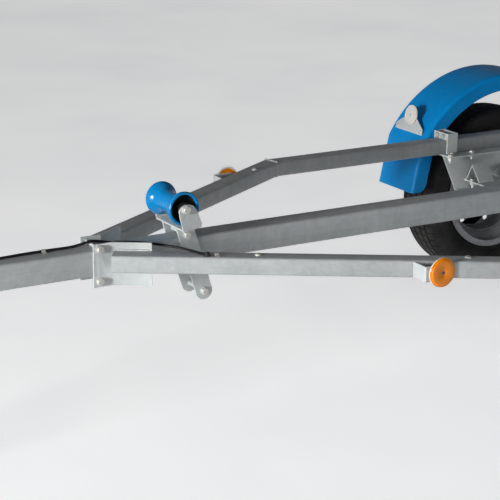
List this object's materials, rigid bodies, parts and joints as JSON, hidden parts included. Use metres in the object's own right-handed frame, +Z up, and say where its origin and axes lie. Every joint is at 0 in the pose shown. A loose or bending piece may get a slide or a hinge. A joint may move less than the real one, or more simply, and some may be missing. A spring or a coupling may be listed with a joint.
{
  "type": "boat trailer",
  "caption": "Boat trailer with keel beam, kinked side rails, keel and side rollers, winch post, mudguards, jockey wheel and ball coupling.",
  "frame": {"origin": "on the ground, at the middle of the trailer's length and width", "axes": "+X forward towards the coupling, +Y to the trailer's left, +Z up"},
  "size_m": [5.64, 1.86, 1.4193],
  "materials": {
    "galvanised_tube": "hot-dip galvanised steel tube, spangled, satin",
    "galvanised_plate": "galvanised steel plate, bright, satin",
    "zinc_plated": "zinc-plated pressed steel, semi-bright",
    "cast_grey": "dark grey paint on castings, satin",
    "rim_paint": "silver-grey wheel paint, satin",
    "tyre_rubber": "black tyre rubber, matt",
    "black_rubber": "black solid rubber, matt",
    "blue_guard": "moulded blue plastic, fine satin grain",
    "blue_board": "moulded blue plastic, satin",
    "blue_roller": "blue polyurethane, satin",
    "red_lens": "red moulded lens, glossy",
    "amber_lens": "amber prismatic reflector, glossy",
    "clear_lens": "white prismatic reflector, glossy",
    "cable_black": "black cable sheath, satin"
  },
  "bodies": {
    "chassis": {"keel_beam": "galvanised_tube", "front_rail_left": "galvanised_tube", "front_rail_right": "galvanised_tube", "rear_rail_left": "galvanised_tube", "rear_rail_right": "galvanised_tube", "front_clamps": "galvanised_plate", "cross_tubes": "galvanised_tube", "axle_tube": "galvanised_tube", "axle_plates": "galvanised_plate", "axle_centre_bracket": "galvanised_tube", "swing_arms": "cast_grey", "mudguard_left": "blue_guard", "mudguard_right": "blue_guard", "mudguard_brackets": "galvanised_plate", "front_roller_cradle": "galvanised_plate", "keel_roller_cradles": "galvanised_plate", "side_supports": "galvanised_tube", "winch_post": "galvanised_tube", "winch_frame": "zinc_plated", "coupling_head": "zinc_plated", "jockey_clamp": "galvanised_tube", "light_board": "blue_board", "tail_lamps": "red_lens", "side_reflectors": "amber_lens", "front_reflectors": "clear_lens", "wiring_cable": "cable_black", "cable_grommets": "cable_black"},
    "wheel_left": {"hub_left": "cast_grey", "rim_left": "rim_paint", "tyre_left": "tyre_rubber"},
    "wheel_right": {"hub_right": "cast_grey", "rim_right": "rim_paint", "tyre_right": "tyre_rubber"},
    "keel_roller_1": {"keel_roller_1": "blue_roller"},
    "keel_roller_2": {"keel_roller_2": "blue_roller"},
    "keel_roller_3": {"keel_roller_3": "blue_roller"},
    "keel_roller_4": {"keel_roller_4": "blue_roller"},
    "side_roller_front_left": {"side_roller_front_left": "blue_roller"},
    "side_roller_front_right": {"side_roller_front_right": "blue_roller"},
    "side_roller_rear_left": {"side_roller_rear_left": "blue_roller"},
    "side_roller_rear_right": {"side_roller_rear_right": "blue_roller"},
    "bow_roller": {"bow_roller": "blue_roller"},
    "winch_drum": {"winch_drum": "zinc_plated"},
    "winch_crank": {"winch_crank": "zinc_plated"},
    "coupling_handle": {"coupling_handle": "zinc_plated"},
    "jockey_leg": {"jockey_leg": "zinc_plated"},
    "jockey_crank": {"jockey_crank": "zinc_plated"},
    "jockey_fork": {"jockey_fork": "zinc_plated"},
    "jockey_wheel": {"jockey_wheel": "black_rubber"}
  },
  "joints": [
    {"name": "wheel_left_spin", "type": "hinge", "parent": "chassis", "child": "wheel_left", "pos_m": [-0.92, 0.819, 0.32], "axis": [0, 1, 0], "continuous": true},
    {"name": "wheel_right_spin", "type": "hinge", "parent": "chassis", "child": "wheel_right", "pos_m": [-0.92, -0.819, 0.32], "axis": [0, 1, 0], "continuous": true},
    {"name": "keel_roller_1_spin", "type": "hinge", "parent": "chassis", "child": "keel_roller_1", "pos_m": [0.841, 0, 0.674], "axis": [0, 1, 0], "continuous": true},
    {"name": "keel_roller_2_spin", "type": "hinge", "parent": "chassis", "child": "keel_roller_2", "pos_m": [-0.5, 0, 0.674], "axis": [0, 1, 0], "continuous": true},
    {"name": "keel_roller_3_spin", "type": "hinge", "parent": "chassis", "child": "keel_roller_3", "pos_m": [-1.58, 0, 0.674], "axis": [0, 1, 0], "continuous": true},
    {"name": "keel_roller_4_spin", "type": "hinge", "parent": "chassis", "child": "keel_roller_4", "pos_m": [-2.66, 0, 0.674], "axis": [0, 1, 0], "continuous": true},
    {"name": "side_roller_front_left_spin", "type": "hinge", "parent": "chassis", "child": "side_roller_front_left", "pos_m": [-1.34, 0.666, 0.765], "axis": [0, 0.9511, 0.309], "continuous": true},
    {"name": "side_roller_front_right_spin", "type": "hinge", "parent": "chassis", "child": "side_roller_front_right", "pos_m": [-1.34, -0.666, 0.765], "axis": [0, 0.9511, -0.309], "continuous": true},
    {"name": "side_roller_rear_left_spin", "type": "hinge", "parent": "chassis", "child": "side_roller_rear_left", "pos_m": [-2.16, 0.666, 0.765], "axis": [0, 0.9511, 0.309], "continuous": true},
    {"name": "side_roller_rear_right_spin", "type": "hinge", "parent": "chassis", "child": "side_roller_rear_right", "pos_m": [-2.16, -0.666, 0.765], "axis": [0, 0.9511, -0.309], "continuous": true},
    {"name": "bow_roller_spin", "type": "hinge", "parent": "chassis", "child": "bow_roller", "pos_m": [1.63, 0, 1.047], "axis": [0, 1, 0], "continuous": true},
    {"name": "winch_drum_turn", "type": "hinge", "parent": "chassis", "child": "winch_drum", "pos_m": [1.81, 0, 1.209], "axis": [0, 1, 0], "continuous": true},
    {"name": "winch_crank_turn", "type": "hinge", "parent": "chassis", "child": "winch_crank", "pos_m": [1.758, 0, 1.239], "axis": [0, 1, 0], "continuous": true},
    {"name": "coupling_handle_lift", "type": "hinge", "parent": "chassis", "child": "coupling_handle", "pos_m": [2.712, 0, 0.599], "axis": [0, 1, 0], "range_deg": [0, 55]},
    {"name": "jockey_leg_lift", "type": "slide", "parent": "chassis", "child": "jockey_leg", "axis": [0, 0, 1], "range_m": [0, 0.19]},
    {"name": "jockey_crank_turn", "type": "hinge", "parent": "chassis", "child": "jockey_crank", "pos_m": [2.26, 0.07828, 0.9], "axis": [0, 0, 1], "continuous": true},
    {"name": "jockey_swivel", "type": "hinge", "parent": "jockey_leg", "child": "jockey_fork", "pos_m": [2.26, 0.07828, 0.23], "axis": [0, 0, 1], "continuous": true},
    {"name": "jockey_wheel_spin", "type": "hinge", "parent": "jockey_fork", "child": "jockey_wheel", "pos_m": [2.226, 0.07828, 0.1], "axis": [0, 1, 0], "continuous": true}
  ],
  "couplings": [
    {"joint": "winch_crank_turn", "follows": "winch_drum_turn", "ratio": -3.8333}
  ]
}
